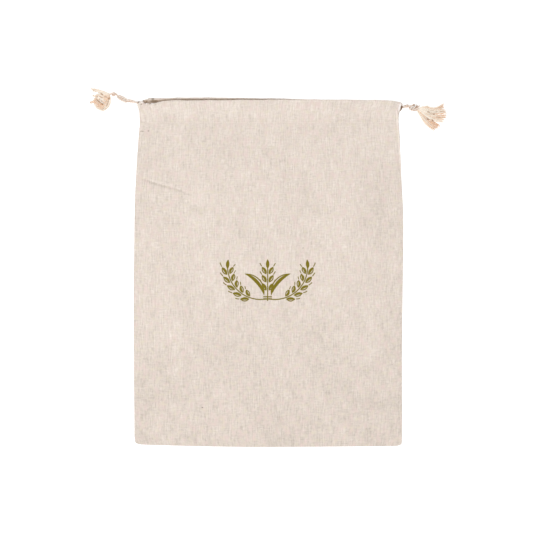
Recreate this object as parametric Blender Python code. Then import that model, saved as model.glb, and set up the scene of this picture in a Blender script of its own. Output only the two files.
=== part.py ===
"""A linen bread bag that lies on its back with its mouth towards +Y.

Two cloth panels, each with a hem turned in as a channel, two drawstrings and their tassels.
Metres, +Z up, the surface that the bag lies on at z = 0. The tables are in millimetres.
"""

import math

import bmesh
import bpy
import numpy as np
from mathutils import Vector

MM = 0.001

# Cloth and its layers, in millimetres
CLOTH = 1.0
HALF_CLOTH = CLOTH / 2
SEAM_GAP = 0.3
CHANNEL_CLEAR = 3.0
FOLD_RADIUS = (CHANNEL_CLEAR + CLOTH) / 2
HEM_TOP = HALF_CLOTH + 2 * FOLD_RADIUS + HALF_CLOTH

# Heights of the front over the back, in millimetres
HALF_WIDTH = 151.0
MOUTH_GAP_SIDE = 0.5
MOUTH_GAP_MIDDLE = 5.6
MOUTH_GAP_POWER = 3
PUFF = 6.0
PUFF_POWER = 4
PUFF_STARTS = -195.0
PUFF_FULL = -150.0
LIFT_STARTS_MIDDLE = 96.0
LIFT_STARTS_SIDE = 146.0

# The channel, in millimetres
STITCH_LINE = 167.4
HEM_EDGE_SLOPE = 3.0
HEM_INSET = {"left": 9.0, "right": 3.5}
INSET_FADES_OVER = 26.0

# A soft ridge that crosses the upper left of the front, in millimetres
CREASE_FROM = (-141.0, 103.0)
CREASE_TO = (-82.0, 84.0)
CREASE_HEIGHT = 1.0
CREASE_HALF_WIDTH = 7.0

# Gathers along the front's top edge near its left corner, in millimetres
GATHER_FROM = -146.0
GATHER_TO = -98.0
GATHER_PITCH = 9.0
GATHER_DEPTH = 0.8

# Cord and threads, in millimetres
CORD_DIAMETER = 2.0
CORD_SAMPLE = 10.0
CORD_TURN = math.radians(28)

# Outlines, in millimetres: (y, x) down each side, (x, y) along the top and the bottom
LEFT_SIDE = [
    (-196, -147.5), (-191, -149.6), (-185, -150.3), (-167, -150.3), (-99, -151.2), (-32, -151.2),
    (35, -150.7), (80, -150.1), (125, -147.8), (148, -146.2), (159, -145.6), (166, -144.7),
    (179, -145.2), (184, -145.9), (188, -147.0), (193, -147.4),
]
BACK_RIGHT_SIDE = [
    (-196, 148.6), (-191, 149.4), (-144, 149.9), (-32, 150.2), (13, 150.7), (58, 151.2),
    (103, 149.2), (136, 147.6), (159, 146.7), (170, 146.5), (180, 147.3), (190, 148.6),
]
FRONT_RIGHT_SIDE = [
    (-196, 148.2), (-191, 149.4), (-144, 149.9), (-32, 150.2), (13, 150.7), (58, 151.2),
    (103, 149.0), (136, 146.9), (153, 145.8), (170, 144.6), (182, 144.2), (186, 145.6),
    (189, 149.2), (191, 151.2),
]
FRONT_TOP = [
    (-148, 186.6), (-144, 187.2), (-137, 188.7), (-127, 189.3), (-116, 191.1), (-99, 191.8),
    (-43, 191.8), (-20, 192.7), (13, 193.3), (36, 193.7), (115, 193.4), (137, 192.5),
    (144, 191.8), (152, 189.4),
]
BACK_TOP = [
    (-148, 192.6), (-143, 193.0), (-139, 194.0), (-133, 195.8), (-88, 196.6), (-54, 196.3),
    (-20, 195.6), (13, 195.0), (36, 194.5), (81, 193.2), (115, 191.8), (150, 189.6),
]
BOTTOM = [
    (-150, -191.8), (-146, -193.2), (-140, -193.9), (-122, -194.4), (-77, -195.6), (-9, -196.5),
    (36, -196.3), (114, -195.6), (144, -195.3), (148, -194.4), (150, -192.6),
]

# The channel's cross-section: share of the way up from the stitch line, height of the fold there
CHANNEL_SHAPE = [(0.0, CLOTH), (0.12, 1.9), (0.3, 3.0), (0.55, 3.8), (0.8, 4.0)]
FOLD_STEPS = 5

# Routes of the drawstrings, in millimetres: (x, y, z) from one knot to the other end
LEFT_CORD_ROUTE = [
    (-157.3, 193.0, 3.5), (-153.5, 192.1, 4.6), (-150.0, 190.8, 5.5), (-146.0, 188.6, 6.0),
    (-142.5, 185.7, 7.0), (-139.0, 184.6, 8.9), (-134.0, 184.9, 9.8), (-125.0, 186.1, 10.3),
    (-116.0, 187.5, 10.9), (-85.0, 188.8, 12.3), (-45.0, 188.8, 12.9), (0.0, 190.0, 13.1),
    (50.0, 190.7, 12.9), (95.0, 190.4, 12.0), (125.0, 189.9, 10.4), (140.0, 189.0, 9.3),
    (146.2, 188.3, 8.6), (149.4, 187.9, 6.6), (149.9, 187.4, 5.0), (148.9, 187.0, 3.5),
    (145.5, 186.8, 2.5), (140.0, 187.1, 2.5), (115.0, 188.8, 2.5), (81.0, 190.2, 2.5),
    (36.0, 191.5, 2.5), (-20.0, 192.6, 2.5), (-54.0, 193.2, 2.5), (-88.0, 193.5, 2.5),
    (-120.0, 193.2, 2.5), (-133.0, 192.7, 2.5), (-139.0, 191.3, 2.5), (-145.0, 190.4, 2.5),
    (-149.5, 190.4, 2.3), (-153.5, 190.9, 1.6), (-157.3, 191.2, 1.4),
]
RIGHT_CORD_ROUTE = [
    (157.2, 187.2, 3.4), (153.5, 186.0, 4.9), (150.0, 185.1, 7.0), (145.5, 185.7, 8.5),
    (140.0, 186.4, 9.2), (125.0, 187.3, 10.3), (95.0, 187.8, 12.0), (50.0, 188.0, 12.9),
    (0.0, 187.3, 13.1), (-45.0, 186.2, 12.9), (-85.0, 186.2, 12.2), (-116.0, 184.8, 10.8),
    (-130.0, 182.8, 9.9), (-136.0, 182.1, 9.4), (-140.5, 182.2, 8.5), (-143.2, 183.1, 6.9),
    (-144.0, 184.7, 5.3), (-143.2, 186.3, 3.9), (-140.5, 187.7, 2.8), (-136.0, 189.3, 2.5),
    (-128.0, 190.2, 2.5), (-110.0, 190.7, 2.5), (-88.0, 190.9, 2.5), (-54.0, 190.6, 2.5),
    (-20.0, 190.0, 2.5), (36.0, 188.9, 2.5), (81.0, 187.6, 2.5), (115.0, 186.2, 2.5),
    (138.0, 184.6, 2.5), (145.0, 184.0, 2.5), (149.5, 184.3, 2.4), (153.5, 185.0, 1.7),
    (157.2, 185.3, 1.4),
]

# Knots and neck of each tassel, in millimetres: (x, y, z, half width, half height)
LEFT_HEAD = [
    (-158.1, 192.2, 2.5, 1.9, 1.9), (-160.3, 192.9, 3.0, 2.9, 2.5), (-164.0, 194.4, 3.2, 3.1, 2.8),
    (-167.6, 196.0, 3.0, 2.9, 2.6), (-169.8, 197.4, 2.4, 1.7, 1.9), (-171.8, 199.2, 2.2, 1.5, 1.6),
    (-174.0, 200.0, 2.6, 2.5, 2.3), (-175.9, 199.7, 2.4, 2.2, 2.1), (-178.2, 198.6, 2.4, 3.7, 2.3),
]
RIGHT_HEAD = [
    (158.0, 186.3, 2.5, 1.9, 1.9), (159.8, 186.0, 3.2, 3.7, 2.8), (162.6, 185.2, 3.5, 4.3, 3.1),
    (165.6, 184.4, 3.3, 3.9, 2.9), (167.6, 183.6, 2.7, 2.6, 2.4), (169.6, 182.7, 2.4, 3.6, 2.3),
]
HEAD_LOBES = 2
HEAD_LOBE_DEPTH = 0.11
HEAD_TWIST = math.radians(62)
CAP_SQUARENESS = 0.85

# Locks of thread that grow out of each head, in millimetres
LOCK_COLUMNS = 8
LOCK_LAYERS = 3
LOCK_PARTING = 0.12
LAYER_RISE = 1.25
FLOOR_CLEARANCE = 0.02
ROOT_HALF = {"width": 0.36, "height": 0.40}
TIP_HALF = {"width": 0.22, "height": 0.24}
THICKER_MIDWAY = 0.12
WIDER_MIDWAY = {"left": 0.20, "right": 0.40}

# Shares of a lock's length
STEPS_A_SPAN = 2
WIDEST_LATE = 1.6
SETTLED_BY = 0.55
SHORTER_A_LAYER = 0.10
UNEVEN_TIPS = 0.12
UNEVEN_CYCLE = 4
LAYER_SHIFT = 0.03
STRAIGHT_OUT = 0.25

# Guides that the threads fan between, in millimetres, from the topmost round to the lowest:
# (near x, near y, far x, far y, tip x, tip y)
LEFT_GUIDES = [
    (-185.5, 202.9, -192.0, 204.8, -198.7, 205.7),
    (-185.0, 199.6, -191.5, 200.0, -198.3, 198.2),
    (-184.0, 195.3, -190.0, 195.0, -196.5, 195.0),
    (-182.8, 191.6, -190.0, 189.3, -201.8, 190.3),
    (-180.0, 188.9, -187.0, 184.0, -197.0, 185.6),
    (-176.6, 189.2, -182.6, 180.7, -192.5, 181.2),
]
RIGHT_GUIDES = [
    (176.5, 186.4, 185.5, 185.6, 199.1, 188.6),
    (177.2, 184.1, 186.5, 182.6, 198.3, 182.8),
    (177.2, 181.8, 187.0, 179.2, 199.0, 177.0),
    (176.8, 179.2, 185.5, 175.2, 196.6, 170.6),
    (175.4, 177.0, 182.0, 170.8, 191.3, 162.8),
    (173.0, 174.9, 177.0, 168.7, 184.6, 160.2),
]


def clear_scene():
    for obj in list(bpy.data.objects):
        bpy.data.objects.remove(obj, do_unlink=True)


def finish(name, color, roughness):
    """A Principled BSDF material for one piece."""
    material = bpy.data.materials.new(name)
    material.use_nodes = True
    shader = material.node_tree.nodes["Principled BSDF"]
    shader.inputs["Base Color"].default_value = (*color, 1.0)
    shader.inputs["Roughness"].default_value = roughness
    shader.inputs["Metallic"].default_value = 0.0
    return material


def add_object(name, data, material):
    data.materials.append(material)
    obj = bpy.data.objects.new(name, data)
    bpy.context.scene.collection.objects.link(obj)
    return obj


def add_mesh(name, bm, material):
    bmesh.ops.recalc_face_normals(bm, faces=bm.faces)
    mesh = bpy.data.meshes.new(name)
    bm.to_mesh(mesh)
    bm.free()
    mesh.shade_smooth()
    mesh.set_sharp_from_angle(angle=math.radians(60))
    return add_object(name, mesh, material)


def ease(value, low, high):
    """0 below low, 1 above high, and a smooth rise between them."""
    t = min(max((value - low) / (high - low), 0.0), 1.0)
    return t * t * (3 - 2 * t)


def mix(a, b, share):
    return a + (b - a) * share


def smooth_through(rows, at):
    """The value at one place on the smooth curve through rows of (place, value), with no overshoot."""
    places, values = np.array(rows, float).T
    steps = np.diff(places)
    rises = np.diff(values) / steps
    slopes = np.zeros(len(places))
    slopes[0], slopes[-1] = rises[0], rises[-1]
    same_way = rises[:-1] * rises[1:] > 0
    both = rises[:-1] + rises[1:]
    slopes[1:-1][same_way] = (2 * rises[:-1] * rises[1:])[same_way] / both[same_way]
    at = min(max(at, places[0]), places[-1])
    i = min(int(np.searchsorted(places, at, side="right")) - 1, len(steps) - 1)
    t = (at - places[i]) / steps[i]
    rise = values[i + 1] - values[i]
    start, end = slopes[i] * steps[i], slopes[i + 1] * steps[i]
    return values[i] + t * start + t * t * (3 * rise - 2 * start - end) + t**3 * (start + end - 2 * rise)


def curve_point(points, i, t):
    """A point on the Catmull-Rom curve through points, t of the way from point i to the next."""
    before = points[i - 1] if i > 0 else 2 * points[0] - points[1]
    after = points[i + 2] if i + 2 < len(points) else 2 * points[-1] - points[-2]
    a, b = points[i], points[i + 1]
    return 0.5 * (
        2 * a
        + (b - before) * t
        + (2 * before - 5 * a + 4 * b - after) * t * t
        + (3 * a - before - 3 * b + after) * t**3
    )


def mouth_gap(x):
    """How far the front's channel stands over the back's, x across from the middle."""
    share = min(abs(x / HALF_WIDTH), 1.0) ** MOUTH_GAP_POWER
    return mix(MOUTH_GAP_MIDDLE, MOUTH_GAP_SIDE, share)


def hem_height(x):
    """Middle of the front's turned-in hem, over the back's hem."""
    return HEM_TOP + mouth_gap(x) + HALF_CLOTH


def crease_rise(x, y):
    (x0, y0), (x1, y1) = CREASE_FROM, CREASE_TO
    along = Vector((x1 - x0, y1 - y0))
    offset = Vector((x - x0, y - y0))
    share = offset.dot(along) / along.length_squared
    off_line = abs(offset.cross(along)) / along.length
    near = 1 - ease(off_line, 0, CREASE_HALF_WIDTH)
    return CREASE_HEIGHT * near * ease(share, -0.15, 0.2) * (1 - ease(share, 0.75, 1.1))


def front_height(x, y):
    """Middle of the front's cloth at and below the stitch line."""
    side = min(abs(x / HALF_WIDTH), 1.0) ** PUFF_POWER
    rim = CLOTH + SEAM_GAP + HALF_CLOTH
    body = rim + PUFF * (1 - side) * ease(y, PUFF_STARTS, PUFF_FULL) + crease_rise(x, y)
    starts = mix(LIFT_STARTS_MIDDLE, LIFT_STARTS_SIDE, side)
    return mix(body, hem_height(x) + CLOTH, ease(y, starts, STITCH_LINE))


def gather(x):
    """How far the front's top edge dips between two gathers."""
    if not GATHER_FROM < x < GATHER_TO:
        return 0.0
    fade = 1 - ease(x, GATHER_FROM, GATHER_TO)
    return GATHER_DEPTH * fade * math.sin(2 * math.pi * (x - GATHER_FROM) / GATHER_PITCH) ** 2


# What sets the two panels apart. "out" is the way from the channel's inside to the panel's face.
FRONT = {
    "name": "front_panel",
    "right": FRONT_RIGHT_SIDE,
    "top": FRONT_TOP,
    "out": 1,
    "rows": [-176, -145, -95, -35, 25, 58, 75, 82, 89, 96, 103, 112, 125, 140, 150, 158],
    "columns": [(-150.0, -106.0, 11), (-106.0, 134.0, 12), (134.0, 150.0, 3)],
}
BACK = {
    "name": "back_panel",
    "right": BACK_RIGHT_SIDE,
    "top": BACK_TOP,
    "out": -1,
    "rows": [-165, -85, 0, 80, 135, 158],
    "columns": [(-150.0, -124.0, 6), (-124.0, 134.0, 10), (134.0, 150.0, 3)],
}
EDGE_ROWS = (0.0, 3.0, 9.0)


def panel_section(panel, across):
    """The panel's cross-section at one place across it: its outer points, its inner points and the
    place of the stitch line among them. The inner points stop where the hem comes back to it.
    """
    out = panel["out"]
    is_front = panel is FRONT
    first, last = panel["columns"][0][0], panel["columns"][-1][1]
    foot = smooth_through(BOTTOM, across)
    inset = HEM_INSET["left"] * max(0.0, 1 - (across - first) / INSET_FADES_OVER)
    inset -= HEM_INSET["right"] * max(0.0, 1 - (last - across) / INSET_FADES_OVER)
    outer, inner = [], []

    def place(y, turned):
        """x at height y, with the turned-in share of the cloth drawn in from the side."""
        left, right = smooth_through(LEFT_SIDE, y), smooth_through(panel["right"], y)
        return mix(left, right, (across - first) / (last - first)) + turned * inset

    def add(y, z, turned, out_y, out_z):
        """One point of the cloth's middle, and its two faces half the cloth away along (y, z)."""
        x = place(y, turned)
        outer.append((x, y + out_y * HALF_CLOTH, z + out_z * HALF_CLOTH))
        inner.append((x, y - out_y * HALF_CLOTH, z - out_z * HALF_CLOTH))

    def channel(turned):
        """Where the fold's middle lies at this turn, and the height of the layer that lies flat."""
        x = place(STITCH_LINE, turned)
        top = smooth_through(panel["top"], x) - (gather(x) if is_front else 0.0)
        return top - FOLD_RADIUS - HALF_CLOTH, hem_height(x) if is_front else HALF_CLOTH

    body = [foot + rise for rise in EDGE_ROWS] + panel["rows"]
    body += [STITCH_LINE - HEM_EDGE_SLOPE, STITCH_LINE]
    for y in body:
        add(y, front_height(place(y, 0), y) if is_front else HALF_CLOTH, 0, 0, out)
    stitch = len(body) - 1

    fold_middle, flat = channel(0)
    for share, lift in CHANNEL_SHAPE[1:]:
        add(mix(STITCH_LINE, fold_middle, share), flat + (lift if is_front else 0.0), 0, 0, out)
    for step in range(FOLD_STEPS + 1):
        turn = math.pi * step / FOLD_STEPS
        fold_middle, flat = channel(step / FOLD_STEPS)
        y = fold_middle + FOLD_RADIUS * math.sin(turn)
        z = flat + FOLD_RADIUS + out * FOLD_RADIUS * math.cos(turn)
        add(y, z, step / FOLD_STEPS, math.sin(turn), out * math.cos(turn))
    for share, lift in reversed(CHANNEL_SHAPE):
        add(mix(STITCH_LINE, fold_middle, share), flat + (0.0 if is_front else lift), 1, 0, -out)
    inner.pop()
    return outer, inner, stitch


def section_faces(outer, inner, stitch):
    """Quads between the cloth's two faces, and the triangle that joins the hem's edge to the cloth."""
    inner_ring = inner + [inner[stitch]]
    faces = [
        (outer[k], outer[k + 1], inner_ring[k + 1], inner_ring[k]) for k in range(len(outer) - 1)
    ]
    return faces + [(outer[-1], inner[stitch - 1], inner[stitch])]


def build_panel(panel, material):
    """The section, extruded from place to place across the panel."""
    places = [panel["columns"][0][0]]
    for low, high, count in panel["columns"]:
        places += [mix(low, high, (i + 1) / count) for i in range(count)]
    bm = bmesh.new()
    number = bm.verts.layers.int.new("section_point")
    outer, inner, stitch = panel_section(panel, places[0])
    verts = []
    for i, point in enumerate(outer + inner):
        vert = bm.verts.new(Vector(point) * MM)
        vert[number] = i
        verts.append(vert)
    corners = section_faces(verts[: len(outer)], verts[len(outer) :], stitch)
    faces = [bm.faces.new(face) for face in corners]
    for across in places[1:]:
        made = bmesh.ops.extrude_face_region(bm, geom=faces)["geom"]
        if across != places[1]:
            bmesh.ops.delete(bm, geom=faces, context="FACES")
        faces = [item for item in made if isinstance(item, bmesh.types.BMFace)]
        outer, inner, _ = panel_section(panel, across)
        points = outer + inner
        for vert in (item for item in made if isinstance(item, bmesh.types.BMVert)):
            vert.co = Vector(points[vert[number]]) * MM
    return add_mesh(panel["name"], bm, material)


def cord_points(route):
    """Points along the smooth route, closer together where it turns."""
    knots = [Vector(point) for point in route]
    found = [knots[0]]
    for i in range(len(knots) - 1):
        fine = [curve_point(knots, i, t / 12) for t in range(13)]
        ways = [(b - a) for a, b in zip(fine, fine[1:])]
        length = sum(way.length for way in ways)
        turn = sum(a.angle(b) for a, b in zip(ways, ways[1:]))
        count = max(1, math.ceil(length / CORD_SAMPLE), math.ceil(turn / CORD_TURN))
        found += [curve_point(knots, i, (n + 1) / count) for n in range(count)]
    return found


def build_cord(name, route, material):
    curve = bpy.data.curves.new(name, "CURVE")
    curve.dimensions = "3D"
    curve.bevel_depth = CORD_DIAMETER / 2 * MM
    curve.bevel_resolution = 2
    curve.use_fill_caps = True
    points = cord_points(route)
    spline = curve.splines.new("POLY")
    spline.points.add(len(points) - 1)
    for target, point in zip(spline.points, points):
        target.co = (*(point * MM), 1.0)
    spline.use_smooth = True
    return add_object(name, curve, material)


def head_ring(row, before, after, unit, squareness, twist):
    """Where one point of the unit square's rim goes on a ring of the head."""
    x, y, z, half_width, half_height = row
    along = Vector((after[0] - before[0], after[1] - before[1], 0)).normalized()
    sideways = Vector((-along.y, along.x, 0))
    angle = math.atan2(unit[1], unit[0])
    swell = 1 + HEAD_LOBE_DEPTH * (1 - squareness) * math.cos(HEAD_LOBES * (angle - twist))
    across = mix(math.cos(angle) * swell, unit[0], squareness) * half_width
    up = mix(math.sin(angle) * swell, unit[1], squareness) * half_height
    return Vector((x, y, z)) + sideways * across + Vector((0, 0, up))


def lock_path(root, along, guides, share, reach):
    """The curve of one lock: out of the head, between the guides and down to its tip."""
    near_x, near_y, far_x, far_y, tip_x, tip_y = (
        np.interp(share * (len(guides) - 1), range(len(guides)), column) for column in zip(*guides)
    )
    near, far, tip = (
        Vector((x, y, root.z)) for x, y in ((near_x, near_y), (far_x, far_y), (tip_x, tip_y))
    )
    near = mix(near, root + along * (near - root).length, STRAIGHT_OUT)
    return [root, near, far, mix(far, tip, reach)]


def grow_lock(bm, face, points, layer, wider):
    """One lock, extruded from its own face of the head step by step."""
    count = (len(points) - 1) * STEPS_A_SPAN
    root = points[0]
    center = face.calc_center_median()
    way = (points[1] - points[0]).normalized()
    for step in range(1, count + 1):
        at = step / STEPS_A_SPAN
        i = min(int(at), len(points) - 2)
        here = curve_point(points, i, at - i)
        back = curve_point(points, i, at - i - 0.1)
        share = step / count
        swell = math.sin(math.pi * share**WIDEST_LATE)
        half_width = mix(ROOT_HALF["width"], TIP_HALF["width"], share) + wider * swell
        half_height = mix(ROOT_HALF["height"], TIP_HALF["height"], share) + THICKER_MIDWAY * swell
        resting = layer * LAYER_RISE + half_height + FLOOR_CLEARANCE
        here.z = mix(root.z, resting, ease(share, 0.0, SETTLED_BY))
        side_before = Vector((-way.y, way.x, 0)).normalized()
        way = (here - back) * Vector((1, 1, 0))
        side = Vector((-way.y, way.x, 0)).normalized()
        face = bmesh.ops.extrude_discrete_faces(bm, faces=[face])["faces"][0]
        for vert in face.verts:
            offset = vert.co - center
            across = math.copysign(half_width, offset.dot(side_before))
            up = math.copysign(half_height, offset.z)
            vert.co = here * MM + (side * across + Vector((0, 0, up))) * MM
        center = here * MM


def build_tassel(name, head, guides, wider, material):
    """Knots lofted from ring to ring, and locks that grow out of the last ring's faces."""
    bm = bmesh.new()
    unit = bm.verts.layers.float_vector.new("unit")
    made = bmesh.ops.create_grid(bm, x_segments=LOCK_COLUMNS, y_segments=LOCK_LAYERS, size=1.0)
    for vert in made["verts"]:
        vert[unit] = vert.co
    roots = list(bm.faces)
    rim = [edge for edge in bm.edges if edge.is_boundary]
    cap, before_cap = head[-1], head[-2]
    middle = Vector(cap[:3])
    along = Vector((cap[0] - before_cap[0], cap[1] - before_cap[1], 0)).normalized()
    for vert in made["verts"]:
        inside = max(abs(vert[unit].x), abs(vert[unit].y))
        on_rim = head_ring(cap, before_cap, cap, vert[unit] / inside, CAP_SQUARENESS, 0.0)
        vert.co = mix(middle, on_rim, inside)
    for i in range(len(head) - 2, -1, -1):
        made = bmesh.ops.extrude_edge_only(bm, edges=rim)["geom"]
        rim = [item for item in made if isinstance(item, bmesh.types.BMEdge)]
        before, after = head[max(i - 1, 0)], head[i + 1]
        for vert in (item for item in made if isinstance(item, bmesh.types.BMVert)):
            vert.co = head_ring(head[i], before, after, vert[unit], 0.0, i * HEAD_TWIST)
    bmesh.ops.contextual_create(bm, geom=rim)
    bmesh.ops.scale(bm, vec=(MM, MM, MM), verts=bm.verts)
    bmesh.ops.recalc_face_normals(bm, faces=bm.faces)
    bmesh.ops.inset_individual(bm, faces=roots, thickness=LOCK_PARTING * MM, use_even_offset=True)
    sideways = Vector((-along.y, along.x, 0))
    _, _, _, half_width, half_height = cap
    for order, face in enumerate(roots):
        root = face.calc_center_median() / MM
        offset = root - middle
        column = (offset.dot(sideways) / half_width + 1) / 2
        layer = round(((offset.z / half_height + 1) * LOCK_LAYERS - 1) / 2)
        share = 1 - column if sideways.y > 0 else column
        share = min(max(share + LAYER_SHIFT * (layer - 1), 0.0), 1.0)
        uneven = (order * 5 + layer * 3) % UNEVEN_CYCLE / (UNEVEN_CYCLE - 1)
        reach = 1.0 - SHORTER_A_LAYER * layer - UNEVEN_TIPS * uneven
        grow_lock(bm, face, lock_path(root, along, guides, share, reach), layer, wider)
    return add_mesh(name, bm, material)


def main():
    clear_scene()
    linen = (0.77, 0.67, 0.59)
    cotton = (0.84, 0.72, 0.57)
    build_panel(BACK, finish("linen_back", linen, 0.9))
    build_panel(FRONT, finish("linen_front", linen, 0.9))
    for side, route in (("left", LEFT_CORD_ROUTE), ("right", RIGHT_CORD_ROUTE)):
        build_cord(f"drawstring_{side}", route, finish(f"cotton_cord_{side}", cotton, 0.85))
    for side, head, guides in (("left", LEFT_HEAD, LEFT_GUIDES), ("right", RIGHT_HEAD, RIGHT_GUIDES)):
        threads = finish(f"cotton_threads_{side}", cotton, 0.85)
        build_tassel(f"tassel_{side}", head, guides, WIDER_MIDWAY[side], threads)


main()
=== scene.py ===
# %% [markdown]
# # A linen bread bag that lies on its back
#
# The real bag is two linen cloths sewn together down both sides and along the foot. The top of
# each cloth is turned in and sewn down as a channel. Two cotton cords run through both channels,
# and each ends in a knot with loose threads, one at the left and one at the right.
#
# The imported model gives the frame: its solids say where every piece lies. This lesson dresses
# each of them with cloth, twisted cord and threads, in the same place and at the same size.

import math

import bpy
import numpy as np
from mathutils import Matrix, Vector


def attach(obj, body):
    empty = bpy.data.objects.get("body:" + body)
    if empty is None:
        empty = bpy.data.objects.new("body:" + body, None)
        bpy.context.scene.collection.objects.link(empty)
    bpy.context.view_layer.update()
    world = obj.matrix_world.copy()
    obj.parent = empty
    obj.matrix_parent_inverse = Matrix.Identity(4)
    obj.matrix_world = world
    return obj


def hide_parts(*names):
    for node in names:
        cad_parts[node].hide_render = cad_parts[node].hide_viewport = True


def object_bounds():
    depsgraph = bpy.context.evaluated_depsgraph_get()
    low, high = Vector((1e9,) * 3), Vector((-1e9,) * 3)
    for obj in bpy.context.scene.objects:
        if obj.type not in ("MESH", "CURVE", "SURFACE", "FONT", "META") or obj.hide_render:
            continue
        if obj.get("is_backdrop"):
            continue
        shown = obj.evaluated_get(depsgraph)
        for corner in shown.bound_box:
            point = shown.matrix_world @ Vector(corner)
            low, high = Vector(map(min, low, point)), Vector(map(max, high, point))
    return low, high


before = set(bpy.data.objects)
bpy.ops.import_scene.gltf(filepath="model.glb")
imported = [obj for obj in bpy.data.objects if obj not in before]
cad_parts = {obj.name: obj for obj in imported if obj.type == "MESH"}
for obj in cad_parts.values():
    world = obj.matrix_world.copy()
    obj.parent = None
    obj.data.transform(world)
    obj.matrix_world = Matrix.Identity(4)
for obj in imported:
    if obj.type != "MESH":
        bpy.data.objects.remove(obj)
cad_box = [list(corner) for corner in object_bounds()]
MM = 0.001
print("solids:", sorted(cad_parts))

# %% [markdown]
# ## The camera
#
# The bag is seen from straight above, and its sides don't lean away from each other. A long lens
# from far off gives that. A lens of 200 mm over a sensor of 36 mm sees 36 / 200 of its distance,
# so the distance follows from the width that the picture has to show.

# %% Camera
PICTURE_WIDTH = 0.5989
PICTURE_MIDDLE = (-0.0019, 0.0056)
LENS = 200.0
SENSOR = 36.0
EYE_LEVEL_OF_CLOTH = 0.005


def deselect():
    """Leaves nothing selected, so that the next operator acts on its own piece alone."""
    for obj in bpy.context.selected_objects:
        obj.select_set(False)


deselect()
distance = PICTURE_WIDTH * LENS / SENSOR
bpy.ops.object.camera_add(location=(*PICTURE_MIDDLE, distance + EYE_LEVEL_OF_CLOTH))
camera = bpy.context.object
camera.name = "camera"
camera.data.lens = LENS
camera.data.sensor_width = SENSOR
camera.data.clip_end = 20
bpy.context.scene.camera = camera
print(f"camera {distance:.2f} m above the cloth")

# %% [markdown]
# ## Tubes that follow a line
#
# A cord, a strand of it and a loose thread are all tubes round a line. A curve object could make
# them, but its bevel can't twist three strands round each other. So rings of points are set round
# the line here, and each tube also gets a map: how far round it and how far along it a point is.
# The materials later draw the twist of the yarn on that map.


# %% Smooth lines
def smooth_route(points, spacing):
    """Points one spacing apart on the smooth curve through the route's points."""
    knots = np.array(points, float)
    padded = np.vstack([2 * knots[0] - knots[1], knots, 2 * knots[-1] - knots[-2]])
    t = np.linspace(0, 1, 24, endpoint=False)[:, None]
    spans = [
        0.5 * (2 * b + (c - a) * t + (2 * a - 5 * b + 4 * c - d) * t**2 + (3 * b - a - 3 * c + d) * t**3)
        for a, b, c, d in zip(padded, padded[1:], padded[2:], padded[3:])
    ]
    line = np.vstack([*spans, knots[-1:]])
    along = distances(line)
    at = np.linspace(0, along[-1], max(3, round(along[-1] / spacing) + 1))
    return np.stack([np.interp(at, along, line[:, k]) for k in range(3)], axis=1)


def distances(line):
    """How far along the line each of its points is."""
    return np.concatenate([[0], np.cumsum(np.linalg.norm(np.diff(line, axis=0), axis=1))])


def across(line):
    """Two ways across the line at each point, carried along it so that they don't twist."""
    way = np.gradient(line, axis=0)
    way /= np.linalg.norm(way, axis=1, keepdims=True)
    side = np.empty_like(way)
    last = np.cross(way[0], (0.0, 0.0, 1.0))
    for i, direction in enumerate(way):
        last = last - direction * last.dot(direction)
        last /= np.linalg.norm(last)
        side[i] = last
    return side, np.cross(way, side)


# %% Tubes
def tube(line, radius, sides, ways=None):
    """A closed tube: its points, its faces, and each face corner's place round and along it."""
    side, up = ways or across(line)
    turn = np.linspace(0, 2 * math.pi, sides, endpoint=False)
    radius = np.broadcast_to(radius, len(line))[:, None, None]
    ring = np.cos(turn)[None, :, None] * side[:, None] + np.sin(turn)[None, :, None] * up[:, None]
    points = (line[:, None] + ring * radius).reshape(-1, 3)
    along = distances(line)
    faces, places = [], []
    for i in range(len(line) - 1):
        for j in range(sides):
            k = (j + 1) % sides
            faces.append((i * sides + j, i * sides + k, (i + 1) * sides + k, (i + 1) * sides + j))
            near, far, left, right = along[i], along[i + 1], j / sides, (j + 1) / sides
            places += [(left, near), (right, near), (right, far), (left, far)]
    last = (len(line) - 1) * sides
    faces += [tuple(range(sides))[::-1], tuple(range(last, last + sides))]
    places += [(0.0, 0.0)] * sides + [(0.0, along[-1])] * sides
    return points, faces, places


def new_piece(name, points, faces, map_name, places):
    """A smooth object of points and faces, with a place on its map for each face corner."""
    mesh = bpy.data.meshes.new(name)
    mesh.from_pydata(points.tolist(), [], faces)
    mesh.uv_layers.new(name=map_name).uv.foreach_set("vector", np.array(places, np.float32).ravel())
    mesh.shade_smooth()
    obj = bpy.data.objects.new(name, mesh)
    bpy.context.scene.collection.objects.link(obj)
    return obj


TURNS_APART = 2


def piece_of_tubes(name, strands, threads=()):
    """One object of a cord's strands, and of loose threads, which get its second material.

    On its map each tube lies some whole turns past the last one.
    """
    points, faces, places, slots = [], [], [], []
    count = 0
    for number, (tube_points, tube_faces, tube_places) in enumerate([*strands, *threads]):
        points.append(tube_points)
        faces += [tuple(i + count for i in face) for face in tube_faces]
        places += [(turn + TURNS_APART * number, along) for turn, along in tube_places]
        slots += [int(number >= len(strands))] * len(tube_faces)
        count += len(tube_points)
    obj = new_piece(name, np.vstack(points), faces, "yarn", places)
    obj.data.polygons.foreach_set("material_index", slots)
    print(f"{name}: {len(strands)} strands, {len(threads)} threads, {len(faces)} faces")
    return obj


# %% [markdown]
# ## The two drawstrings
#
# Each is one soft cotton cord, 2 mm thick. It leaves its own knot, runs through the front's
# channel, turns at the far side and comes back through the back's channel to the same knot. The
# routes are those of the solids. Cotton cord is laid from three strands, so each cord is three
# tubes that wind round the route, with the lay that such a cord has.

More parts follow.
